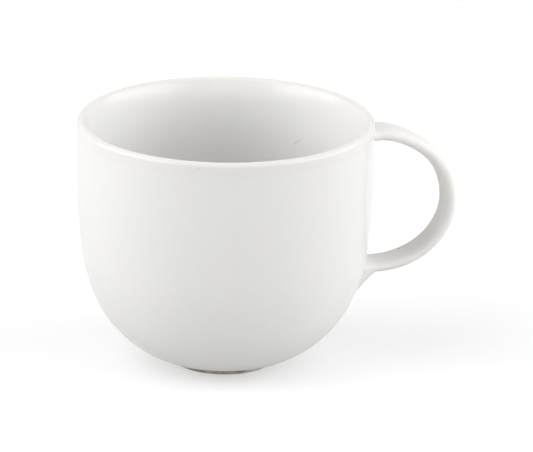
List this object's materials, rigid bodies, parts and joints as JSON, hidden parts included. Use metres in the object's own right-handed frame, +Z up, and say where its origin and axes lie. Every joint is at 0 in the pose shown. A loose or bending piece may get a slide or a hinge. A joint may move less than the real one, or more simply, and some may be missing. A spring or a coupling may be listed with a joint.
{
  "type": "cup",
  "caption": "White glazed porcelain cup with an upright wall, a rounded belly, a small foot ring and a strap handle for one finger.",
  "frame": {"origin": "on the cup's axis, in the plane the foot ring stands on", "axes": "+Z up through the mouth, +X out through the middle of the handle, +Y to the left of the handle seen from the cup's axis"},
  "size_m": [0.1123, 0.086, 0.0734],
  "materials": {
    "glazed_porcelain": "gloss",
    "bare_porcelain": "matte"
  },
  "bodies": {
    "root": {"cup_body": "glazed_porcelain", "foot_ring": "bare_porcelain", "handle": "glazed_porcelain", "upper_slip_joint": "glazed_porcelain", "lower_slip_joint": "glazed_porcelain"}
  },
  "joints": []
}
